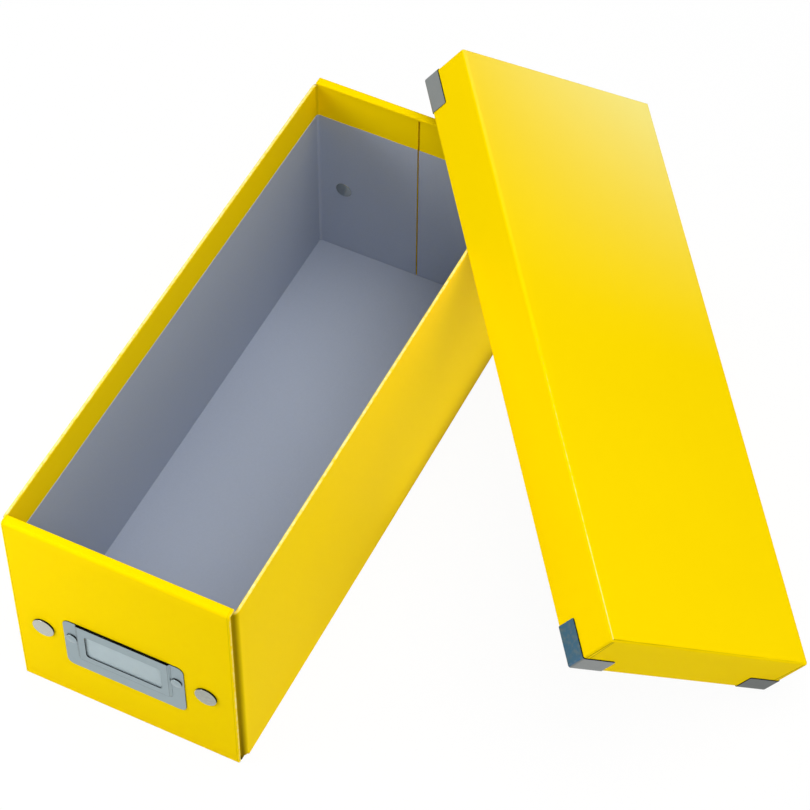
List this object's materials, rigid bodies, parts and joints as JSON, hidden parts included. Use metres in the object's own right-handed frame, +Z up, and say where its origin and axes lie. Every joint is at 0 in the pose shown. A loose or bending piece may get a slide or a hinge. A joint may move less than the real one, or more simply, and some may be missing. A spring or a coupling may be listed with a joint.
{
  "type": "storage box with lift-off lid",
  "caption": "Long rigid board storage box with press-studded folding end panels, a metal label holder, and a lift-off lid with metal rim corners leaning on it.",
  "frame": {"origin": "middle of the box's footprint on the table", "axes": "+Y from the front panel with the label holder to the back panel, +X to the right, towards the lid, +Z up"},
  "size_m": [0.375, 0.4433, 0.1807],
  "materials": {
    "cover_paper": "gloss film laminated",
    "lining_paper": "matt",
    "card_paper": "matt",
    "holder_steel": "satin",
    "corner_steel": "satin",
    "nickel_fittings": "polished nickel"
  },
  "bodies": {
    "box": {"back_flap_linings": "lining_paper", "back_panel": "cover_paper", "back_stud_caps": "nickel_fittings", "back_stud_sockets": "nickel_fittings", "base_board": "cover_paper", "floor_lining": "lining_paper", "front_flap_linings": "lining_paper", "left_back_flap": "cover_paper", "left_front_flap": "cover_paper", "left_lining": "lining_paper", "left_wall": "cover_paper", "right_back_flap": "cover_paper", "right_front_flap": "cover_paper", "right_lining": "lining_paper", "right_wall": "cover_paper", "stud_posts": "nickel_fittings"},
    "front_panel": {"front_panel": "cover_paper", "label_holder": "holder_steel", "holder_rivets": "nickel_fittings", "front_stud_caps": "nickel_fittings", "front_stud_sockets": "nickel_fittings"},
    "label_card": {"label_card": "card_paper"},
    "lid": {"lid_far_end": "cover_paper", "lid_far_left_corner": "corner_steel", "lid_far_right_corner": "corner_steel", "lid_left_side": "cover_paper", "lid_lining": "lining_paper", "lid_near_end": "cover_paper", "lid_near_left_corner": "corner_steel", "lid_near_right_corner": "corner_steel", "lid_right_side": "cover_paper", "lid_top": "cover_paper"}
  },
  "joints": [
    {"name": "front_panel_fold", "type": "hinge", "parent": "box", "child": "front_panel", "pos_m": [0, -0.173, 0], "axis": [1, 0, 0], "range_deg": [0, 87]},
    {"name": "label_card_slide", "type": "slide", "parent": "front_panel", "child": "label_card", "axis": [0, 0, 1], "range_m": [0, 0.034]},
    {"name": "lid_lift", "type": "slide", "parent": "box", "child": "lid", "axis": [0, 0, 1], "range_m": [0, 0.25]}
  ]
}
